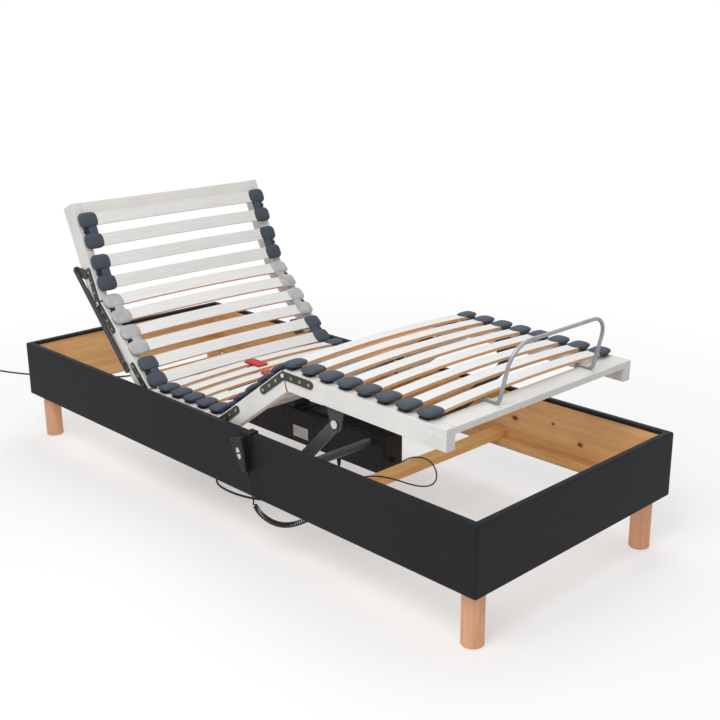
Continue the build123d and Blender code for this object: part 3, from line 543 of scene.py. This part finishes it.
class BED_OT_box(bpy.types.Operator):
    """Finishes of the box: boards, legs, blocks, ledgers and beam"""
    bl_idname = "bed.box"
    bl_label = "Box and legs"

    def execute(self, context):
        props = context.scene.bed_base
        light, dark, run = (234, 188, 130), (210, 158, 102), (1.4, 14.0, 30.0)
        near_knots = ((-0.62, 0.231, 0.008), (0.18, 0.262, 0.007), (0.55, 0.215, 0.009))
        dress(bare_wood("near board", light, dark, run, near_knots), "side_board_near")
        far_knots = ((0.4902, 0.2408, 0.011), (0.6276, 0.2583, 0.006), (0.7233, 0.2204, 0.010), (-0.55, 0.25, 0.008))
        dress(bare_wood("far board", light, dark, run, far_knots), "side_board_far")
        dress(bare_wood("inner end board", light, dark, (14.0, 1.6, 30.0)), "head_end_board", "foot_end_board")
        dress(bare_wood("lacquered leg", (228, 175, 138), (208, 150, 112), (26.0, 26.0, 2.2)), "legs")
        dress(steel("stud steel", (170, 172, 176), 0.35, 1.0), "leg_studs")
        dress(bare_wood("pine", (226, 178, 120), (196, 142, 86), (2.0, 22.0, 26.0)), "seat_supports", "corner_blocks")
        dress(bare_wood("pine beam", (238, 190, 124), (216, 160, 96), (26.0, 2.0, 26.0)),
              "cross_beam", "back_cross_tie")
        return {"FINISHED"}


# Panels and covers, mm: lower edge, height, how far in the lip stands; and the grid along a panel
PANEL_LOW, PANEL_HEIGHT, COVER_LIP, COVER_COLUMNS = 150.0, 180.0, 19.2, 121


def cover_profile():
    """Inward step and height, mm, round a panel: under the board, up its face, over the top, down to the lip."""
    def arc(cx, cz, r, start, end, n):
        a = np.radians(np.linspace(start, end, n))
        return np.stack([cx + r * np.cos(a), cz + r * np.sin(a)], axis=1)
    under = np.stack([np.linspace(17.2, 3.4, 7), np.full(7, PANEL_LOW + 0.05)], axis=1)
    face = np.stack([np.full(31, 0.0), np.linspace(153.0, 323.5, 31)], axis=1)
    top = np.stack([np.linspace(6.6, 14.6, 6), np.full(6, PANEL_LOW + PANEL_HEIGHT)], axis=1)
    lip = np.stack([np.full(5, COVER_LIP), np.linspace(325.4, 320.0, 5)], axis=1)
    return np.concatenate([under, arc(2.8, 152.8, 2.8, 262, 188, 6), face, arc(6.0, 324.0, 6.0, 172, 98, 8), top,
                           arc(15.2, 326.0, 4.0, 84, 6, 7), lip])


def cover_sheet(name, length, turn, half, seed, material):
    """One panel's cover: the profile carried along the panel between mitred ends.

    The face swells and dips by a sum of slow waves, pulls in as a square law within 5 mm of each corner seam, and
    gathers there in short upright ripples that fade as an exponential away from the corner.
    """
    profile = cover_profile()
    t = np.linspace(-1, 1, COVER_COLUMNS)
    t = np.sign(t) * (1 - (1 - np.abs(t)) ** 1.6)
    inward, height = profile[:, 0][:, None], profile[:, 1][:, None]
    reach = length / 2 - np.minimum(inward, COVER_LIP)
    x = t[None, :] * reach
    corner = length / 2 - inward - np.abs(x)
    middle = np.sin(np.pi * np.clip((height - PANEL_LOW) / PANEL_HEIGHT, 0, 1)) ** 0.6
    waves = np.sin(x / 97.0 + seed) * np.sin(height / 41.0 + 2 * seed)
    waves = waves + 0.6 * np.sin(x / 43.0 - height / 63.0 + seed)
    ripples = np.sin(corner / 5.5 + 0.02 * height) * np.exp(-corner / 26.0)
    pull = 0.9 * np.clip(1 - corner / 5.0, 0, 1) ** 2
    step = inward + pull - 0.22 * waves * middle - 0.28 * ripples * middle * (corner > 0.5)
    local = np.stack(np.broadcast_arrays(x, -half + step, height + 0 * x), axis=-1) / 1000.0
    c, n = math.cos(turn), math.sin(turn)
    across, deep, up = np.moveaxis(local, -1, 0)
    points = np.stack([across * c - deep * n, across * n + deep * c, up], axis=-1)
    piece = grid_mesh(name, points, grid_faces(len(profile), len(t))[:, ::-1], material, "base")
    piece.data.shade_smooth()
    wall = piece.modifiers.new("wall", "SOLIDIFY")
    wall.thickness = 0.0009
    wall.offset = -1.0
    girth = np.linalg.norm(np.diff(profile, axis=0), axis=1).sum() / 1000.0
    return piece, girth


class BED_OT_covers(bpy.types.Operator):
    """Leatherette stretched over the four panels and tucked in at top and bottom"""
    bl_idname = "bed.covers"
    bl_label = "Leatherette covers"

    def execute(self, context):
        hide = leatherette(context.scene.bed_base)
        quarter = math.pi / 2
        for name, length, turn, half, seed, board in (
                ("cover_near", 2000.0, 0.0, 400.0, 0.4, "side_board_near"),
                ("cover_far", 2000.0, 2 * quarter, 400.0, 1.9, "side_board_far"),
                ("cover_foot", 800.0, quarter, 1000.0, 3.1, "foot_end_board"),
                ("cover_head", 800.0, -quarter, 1000.0, 4.7, "head_end_board")):
            piece, girth = cover_sheet(name, length, turn, half, seed, hide)
            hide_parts("leatherette_covers")
        return {"FINISHED"}


class BED_OT_frame(bpy.types.Operator):
    """Finishes of the slatted frame: rails, boards, slats, sliders and bow"""
    bl_idname = "bed.frame"
    bl_label = "Slatted frame"

    def execute(self, context):
        props = context.scene.bed_base
        boards = {"seat": "seat_cross_boards", "head": "head_top_board", "calf": "foot_board"}
        for section in LEAN:
            dress(white_paint(section, props), section + "_rails")
            dress(slat_foil(section, props), section + "_slats")
            if section in boards:
                dress(white_paint(section, props, False), boards[section])
        dress(plastic("red slider", (168, 26, 26), 0.36), "firmness_slider_head", "firmness_slider_foot")
        dress(steel("bow coating", (142, 145, 150), 0.34, 0.5), "retainer_bow")
        return {"FINISHED"}


# First slat from each section's pivot, and the pitch, mm
SLATS = {"seat": (64.0, 62.4), "back": (26.0, 59.6), "head": (53.0, 68.0), "thigh": (45.0, 68.0), "calf": (12.0, 66.5)}
# Pads of single and double caps: height, half length, half height, and the powers of plan and section
PADS = {False: (28.6, 25.0, 9.0, 3.0, 2.3), True: (28.4, 24.5, 8.0, 3.4, 2.6)}
# Middle of a pad across the bed, and half its width
PAD_ACROSS, PAD_HALF = 333.0, 32.5
# Foot and outer clip under each cap: place across and in height, half sizes, powers, and grid
HOLDERS = ((340.0, 18.6, 13.0, 20.0, 3.6, 6.0, 6.0, 9, 24), (356.0, 18.9, 15.0, 4.6, 3.7, 4.0, 2.2, 9, 20))
# Pads beside the knee are shorter, so that they pass each other
SHORT_PADS = {("calf", 0): 21.0, ("thigh", 4): 22.0}


def pillow(u, v, n, half_u, half_v, half_n, plan=2.7, side=2.4, rows=15, columns=40):
    """Closed cushion: in plan and in section a super-ellipse, with its poles drawn to points.

    The plan's radius follows the power mean of the cosine and sine of the turn; the section's half width and height
    follow powers of the cosine and sine of the climb.
    """
    climb = np.linspace(-np.pi / 2, np.pi / 2, rows)[:, None]
    turn = np.linspace(0, 2 * np.pi, columns, endpoint=False)[None, :]
    c, w = np.cos(turn), np.sin(turn)
    radius = (np.abs(c) ** plan + np.abs(w) ** plan) ** (-1.0 / plan)
    flat = np.clip(np.cos(climb), 0, 1) ** (2.0 / side)
    high = np.sign(np.sin(climb)) * np.abs(np.sin(climb)) ** (2.0 / side)
    flat = np.maximum(flat, 1e-4)
    return np.stack([u + half_u * flat * radius * c, v + half_v * flat * radius * w, n + half_n * high + 0 * c],
                    axis=-1)


def stacked(shells):
    """Points and faces of several closed grids put together."""
    points, faces, start = [], [], 0
    for shell in shells:
        rows, columns = shell.shape[:2]
        points.append(shell.reshape(-1, 3))
        faces.append(grid_faces(rows, columns, True) + start)
        start += rows * columns
    return np.concatenate(points), np.concatenate(faces)


def set_in(section, local):
    """Section coordinates in mm (along, across the bed, height over the pivot line) as points of the shared frame."""
    along, high = (np.array(axis) for axis in section_axes(section))
    local = local / 1000.0
    cross = np.array([0.0, 1.0, 0.0])
    return np.array(PIVOT[section]) + local[:, :1] * along + local[:, 1:2] * cross + local[:, 2:] * high


def outward(section, faces):
    """Faces turned for sections that run towards the head, whose axes are left-handed."""
    return faces[:, ::-1] if LEAN[section][1] < 0 else faces


def cap_shells(section, first, last, double):
    """Cushions of the caps, and their holders, at both ends of the slats from first to last."""
    start, pitch = SLATS[section]
    height, length, thick, plan, rise = PADS[double]
    pads, holders = [], []
    for side in (-1, 1):
        for k in range(first, last):
            u = start + pitch * k
            half = SHORT_PADS.get((section, k), length)
            pads.append(pillow(u, side * PAD_ACROSS, height, half, PAD_HALF, thick, plan, rise))
            for across, *sizes in HOLDERS:
                holders.append(pillow(u, side * across, *sizes))
        for k in range(first, last - 1, 2) if double else ():
            middle = start + pitch * (k + 0.5)
            pads.append(pillow(middle, side * 325.5, 27.2, pitch * 0.36, 15.5, 5.6, 5.0, 2.6))
            holders.append(pillow(middle, side * 344.0, 21.0, pitch * 0.4, 7.0, 5.6, 6.0, 5.0, 9, 24))
            holders.append(pillow(middle, side * 352.0, 23.5, 4.5, 4.5, 4.6, 2.2, 3.0, 9, 20))
    return pads, holders


class BED_OT_caps(bpy.types.Operator):
    """Rubber caps on the slats' ends and the black holders under them"""
    bl_idname = "bed.caps"
    bl_label = "Slat caps"

    def execute(self, context):
        props = context.scene.bed_base
        black = plastic("cap holder", (22, 22, 24), 0.45)
        blue, grey = props.cap_blue, props.cap_grey
        for name, section, node, first, last, double, shade, rubber in (
                ("seat_cap", "seat", "seat_caps", 0, 5, False, blue, "blue_rubber"),
                ("back_cap_low", "back", "back_caps_blue", 0, 2, True, blue, "blue_rubber"),
                ("back_cap_grey", "back", "back_caps_grey", 2, 6, True, grey, "grey_rubber"),
                ("head_cap", "head", "head_caps", 0, 4, True, blue, "blue_rubber"),
                ("thigh_cap", "thigh", "thigh_caps", 0, 5, False, blue, "blue_rubber"),
                ("calf_cap", "calf", "calf_caps", 0, 8, False, blue, "blue_rubber")):
            body = "base" if section == "seat" else section
            pads, holders = cap_shells(section, first, last, double)
            finish = cap_rubber(name + " rubber", section, shade)
            for kind, shells, material, place in (
                    ("pads", pads, finish, rubber), ("holders", holders, black, "drive_plastic")):
                points, faces = stacked(shells)
                piece = grid_mesh(name + "_" + kind, set_in(section, points), outward(section, faces), material, body)
                piece.data.shade_smooth()
                if kind == "pads":
                    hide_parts(node)
        return {"FINISHED"}


def glide_lever():
    """Grey coated lever whose outermost discs, which slide along the brackets, are pale plastic."""
    paint = Paint("leg lever coating")
    disc = abs(paint.axis(1)) > DISC_FACE
    peel = paint.noise(paint.place, 420.0, 2.0)
    cloud = paint.noise(paint.place, 18.0, 3.0)
    coat = paint.mottled(cloud, (54, 59, 65), (68, 73, 80))
    pale = paint.mottled(peel, (206, 203, 190), (224, 221, 210))
    return paint.set(Base_Color=paint.mix(disc, coat, pale), Roughness=0.42 + 0.1 * cloud,
                     Normal=paint.bump(peel, 0.12, 0.0003))


# Half sizes of the keys' pale field, metres
OVAL_HALF = (0.0082, 0.0165)


def key_oval():
    """Dark keys with a pale oval field over both: an ellipse about their middle, leaning with the handset."""
    paint = Paint("handset keys")
    middle = [sum(JOINTS[n]["pos_m"][k] for n in ("back_key_rock", "leg_key_rock")) / 2 for k in range(3)]
    axis = JOINTS["back_key_rock"]["axis"]
    dx = paint.axis(0) - middle[0]
    dz = paint.axis(2) - middle[2]
    across = (dx * axis[0] + dz * axis[2]) * (1 / OVAL_HALF[0])
    up = (dz * axis[0] - dx * axis[2]) * (1 / OVAL_HALF[1])
    oval = 1.0 - (across * across + up * up).root().ramp(0.93, 1.0)
    cloud = paint.noise(paint.place, 60.0, 3.0)
    pale = paint.mottled(cloud, (176, 180, 180), (200, 203, 202))
    dark = paint.mottled(cloud, (34, 34, 37), (44, 44, 47))
    return paint.set(Base_Color=paint.mix(oval, dark, pale), Roughness=0.45,
                     Normal=paint.bump(paint.noise(paint.place, 900.0, 2.0), 0.2, 0.0003))


class BED_OT_hardware(bpy.types.Operator):
    """Finishes of the hinges, stays, levers, drive and handset"""
    bl_idname = "bed.hardware"
    bl_label = "Hinges and drive"

    def execute(self, context):
        pivots = {"seat": ["back_hinge", "thigh_hinge"], "back": ["head_tilt"], "head": ["head_tilt"],
                  "thigh": ["knee_hinge"], "calf": ["knee_hinge"]}
        for section, names in pivots.items():
            places = [JOINTS[name]["pos_m"] for name in names]
            dress(strap_steel("hinge strap " + section, section, places), section + "_straps")
        dress(steel("stay steel", (34, 34, 37), 0.45), "stay_bars")
        dress(steel("lever coating", (50, 55, 63), 0.42, 0.25), "back_lift_lever", "lift_brackets", "drive_hangers")
        dress(glide_lever(), "leg_lift_lever")
        dress(plastic("roller plastic", (40, 41, 44), 0.4), "back_lift_rollers")
        dress(plastic("drive housing", (17, 16, 15), 0.55, 700.0, 0.3), "drive_tray", "drive_cover")
        dress(steel("motor steel", (165, 167, 170), 0.35, 0.9), "drive_motors", "leg_spindle", "back_spindle")
        dress(plastic("nut plastic", (212, 206, 190), 0.45), "leg_drive_nut", "back_drive_nut")
        dress(plastic("handset shell", (18, 18, 20), 0.42, 800.0, 0.25), "handset_front", "handset_rear")
        dress(key_oval(), "back_key", "leg_key")
        return {"FINISHED"}


# Metres: middle of the label in x and z and its half sizes; plugs along the calf rails, and their rail's face
LABEL = (0.003, 0.178, 0.034, 0.018)
PLUG_PLACES, PLUG_RADIUS, PLUG_SWELL, RAIL_FACE = (0.506, 0.536), 0.0062, 0.0012, 0.36602


class BED_OT_label(bpy.types.Operator):
    """Blank paper label on the near side of the drive, and plugs on the calf rails' ends"""
    bl_idname = "bed.label"
    bl_label = "Label and plugs"

    def execute(self, context):
        paper = Paint("blank label")
        fibre = paper.noise(paper.place, 300.0, 3.0)
        edge = paper.noise(paper.place, 40.0, 2.0)
        tone = paper.mix(edge.ramp(0.3, 0.7), linear((206, 206, 203)), linear((190, 190, 188)))
        paper.set(Base_Color=tone, Roughness=0.6, Normal=paper.bump(fibre, 0.1, 0.0002))
        # a shallow cushion: both ways a super-ellipse falls to the housing's face at the rim
        u = np.linspace(-1, 1, 25)[:, None] + np.zeros((1, 17))
        v = np.zeros((25, 1)) + np.linspace(-1, 1, 17)[None, :]
        lift = 0.0003 * (1 - u ** 12) * (1 - v ** 12)
        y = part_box("drive_tray")[0][1] - 0.00006 - lift
        points = np.stack([LABEL[0] + LABEL[2] * u, y, LABEL[1] + LABEL[3] * v], axis=-1)
        label = grid_mesh("drive_label", points, grid_faces(25, 17), paper.material, "base")
        white = plastic("rail plug", (206, 205, 200), 0.4)
        along, high = (np.array(a) for a in section_axes("calf"))
        pivot = np.array(PIVOT["calf"])
        for side in (-1, 1):
            for number, reach in enumerate(PLUG_PLACES):
                # a disc whose face swells as a quarter ellipse towards its middle
                r = np.linspace(0.0005, 1.0, 7)[:, None]
                a = np.linspace(0, 2 * np.pi, 28, endpoint=False)[None, :]
                out = PLUG_SWELL * np.sqrt(np.clip(1 - r ** 2, 0, 1)) + 0.0 * a
                centre = pivot + reach * along - 0.006 * high + np.array([0.0, side * RAIL_FACE, 0.0])
                ring = ((r * np.cos(a))[..., None] * along + (r * np.sin(a))[..., None] * high) * PLUG_RADIUS
                points = centre + ring + side * out[..., None] * np.array([0.0, 1.0, 0.0])
                faces = grid_faces(7, 28, True)
                plug = grid_mesh("rail_plug_%s_%d" % ("near" if side < 0 else "far", number + 1), points,
                                 faces if side < 0 else faces[:, ::-1], white, "calf")
        return {"FINISHED"}


# Tie of the coil, metres: half its width, half sizes round the bundle, distance from the coil's middle, and height
TIE_HALF, TIE_WIDE, TIE_TALL, TIE_OUT, TIE_HIGH = 0.004, 0.0125, 0.0073, 0.0385, 0.0082
TIE_POWER = 0.6


def lead(curve, jacket, *nodes):
    """A cord on the fixed base in place of its CAD pieces."""
    cord = bpy.data.objects.new(curve.name, curve)
    bpy.context.scene.collection.objects.link(cord)
    curve.materials.append(jacket)
    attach(cord, "base")
    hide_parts(*nodes)
    return cord


class BED_OT_leads(bpy.types.Operator):
    """Curly handset lead and mains lead with its coil, tie and plug"""
    bl_idname = "bed.leads"
    bl_label = "Leads"

    def execute(self, context):
        props = context.scene.bed_base
        jacket = plastic("lead jacket", (26, 26, 28), 0.42, 500.0, 0.15)
        top = np.array(LEAD_START + [CURL_ROUTE[0]]) / 1000.0
        tail = np.array([CURL_ROUTE[-1]] + CORD_TAIL) / 1000.0
        route = np.concatenate([top, curl_points(props), tail])
        cord = lead(nurbs("handset_cord", route, 0.0020, 3, 3), jacket, "handset_lead", "curly_cord")
        loops, centre = coil_points()
        path = np.concatenate([np.array(MAINS), loops]) / 1000.0
        mains = lead(nurbs("mains_cord", path, 0.00325, 4), jacket, "mains_lead", "mains_coil")
        # tie: a flat band carried round the bundle's section, a super-ellipse
        a = np.linspace(0, 2 * np.pi, 24, endpoint=False)[None, :]
        b = np.linspace(-TIE_HALF, TIE_HALF, 5)[:, None]
        start = np.array(centre) / 1000.0
        wide = TIE_WIDE * np.sign(np.cos(a)) * np.abs(np.cos(a)) ** TIE_POWER
        tall = TIE_TALL * np.sign(np.sin(a)) * np.abs(np.sin(a)) ** TIE_POWER
        points = np.stack([start[0] + TIE_OUT + wide + 0 * b, start[1] + b + 0 * a, TIE_HIGH + tall + 0 * b], axis=-1)
        tie = grid_mesh("lead_tie", points, grid_faces(5, 24, True), jacket, "base")
        wall = tie.modifiers.new("wall", "SOLIDIFY")
        wall.thickness = 0.0006
        dress(jacket, "mains_plug")
        return {"FINISHED"}


WHITE = (1.0, 1.0, 1.0)
# Half the floor's side and the far clip, metres; the camera's sensor, mm
FLOOR_HALF, SENSOR, FAR_CLIP = 9.0, 36.0, 60.0


class BED_OT_studio(bpy.types.Operator):
    """Pale floor, soft light, surroundings and camera"""
    bl_idname = "bed.studio"
    bl_label = "Studio"

    def execute(self, context):
        scene = context.scene
        props = scene.bed_studio
        scene.view_settings.view_transform = "Standard"
        ground = Paint("studio floor")
        ground.set(Base_Color=(0.94, 0.93, 0.93), Roughness=0.9)
        glow = ground.node("ShaderNodeEmission", {}, {"Color": WHITE, "Strength": 1.0})
        away = (ground.axis(0) * ground.axis(0) + ground.axis(1) * ground.axis(1)).root()
        whiter = ground.seen() * (0.4 + 0.6 * away.ramp(1.0, 2.4))
        ground.show(whiter, Socket(ground, ground.shader.outputs[0]), glow, "Material Output")
        side = np.linspace(-FLOOR_HALF, FLOOR_HALF, 4)
        points = np.stack(np.broadcast_arrays(side[:, None], side[None, :], np.zeros((4, 4))), axis=-1)
        floor = grid_mesh("studio_floor", points, grid_faces(4, 4), ground.material, None)
        world = bpy.data.worlds.new("studio surroundings")
        scene.world = world
        world.use_nodes = True
        sky = Tree(world.node_tree)
        soft, white = (sky.node("ShaderNodeBackground", {}, {"Color": WHITE, "Strength": strength})
                       for strength in (props.sky, 1.0))
        sky.show(sky.seen(), soft, white, "World Output")
        for name, power, size, place, aim in (
                ("key", props.key, 2.4, (1.2, -2.6, 3.4), (0.0, 0.0, 0.3)),
                ("top", props.key * 0.55, 3.2, (-0.9, 1.4, 3.8), (-0.2, 0.0, 0.3))):
            lamp = bpy.data.lights.new(name, "AREA")
            lamp.energy = power
            lamp.size = size
            shown = bpy.data.objects.new(name, lamp)
            shown.location = place
            shown.rotation_euler = (Vector(aim) - Vector(place)).to_track_quat("-Z", "Y").to_euler()
            scene.collection.objects.link(shown)
        azimuth, elevation, roll = (math.radians(v) for v in props.turn)
        ahead = Vector((-math.sin(azimuth) * math.cos(elevation), math.cos(azimuth) * math.cos(elevation),
                        -math.sin(elevation)))
        right = Vector((math.cos(azimuth), math.sin(azimuth), 0.0))
        up = right.cross(ahead)
        leaned = right * math.cos(roll) + up * math.sin(roll)
        upper = up * math.cos(roll) - right * math.sin(roll)
        lens = bpy.data.cameras.new("camera")
        lens.lens = props.lens
        lens.sensor_width = SENSOR
        lens.clip_end = FAR_CLIP
        camera = bpy.data.objects.new("camera", lens)
        turn = Matrix((leaned, upper, -ahead)).transposed().to_4x4()
        camera.matrix_world = Matrix.Translation(Vector(props.eye)) @ turn
        scene.collection.objects.link(camera)
        scene.camera = camera
        return {"FINISHED"}


class BED_PT_panel(bpy.types.Panel):
    """Runs each step of the bed base and shows its settings"""
    bl_idname = "BED_PT_panel"
    bl_label = "Bed base"
    bl_space_type = "VIEW_3D"
    bl_region_type = "UI"
    bl_category = "Bed base"

    def draw(self, context):
        for operator in OPERATORS:
            self.layout.operator(operator.bl_idname)
        for group in (context.scene.bed_base, context.scene.bed_studio):
            for name in group.bl_rna.properties.keys():
                if name not in ("rna_type", "name"):
                    self.layout.prop(group, name)


OPERATORS = (BED_OT_studio, BED_OT_leads, BED_OT_box, BED_OT_covers, BED_OT_frame, BED_OT_caps, BED_OT_hardware,
             BED_OT_label)
CLASSES = (BedBaseProps, StudioProps) + OPERATORS + (BED_PT_panel,)


def register():
    for entry in CLASSES:
        bpy.utils.register_class(entry)
    bpy.types.Scene.bed_base = bpy.props.PointerProperty(type=BedBaseProps)
    bpy.types.Scene.bed_studio = bpy.props.PointerProperty(type=StudioProps)


def unregister():
    del bpy.types.Scene.bed_studio
    del bpy.types.Scene.bed_base
    for entry in reversed(CLASSES):
        bpy.utils.unregister_class(entry)


def main():
    register()
    bpy.ops.bed.studio()
    bpy.ops.bed.leads()
    bpy.ops.bed.box()
    bpy.ops.bed.covers()
    bpy.ops.bed.frame()
    bpy.ops.bed.caps()
    bpy.ops.bed.hardware()
    bpy.ops.bed.label()


if __name__ == "__main__":
    main()
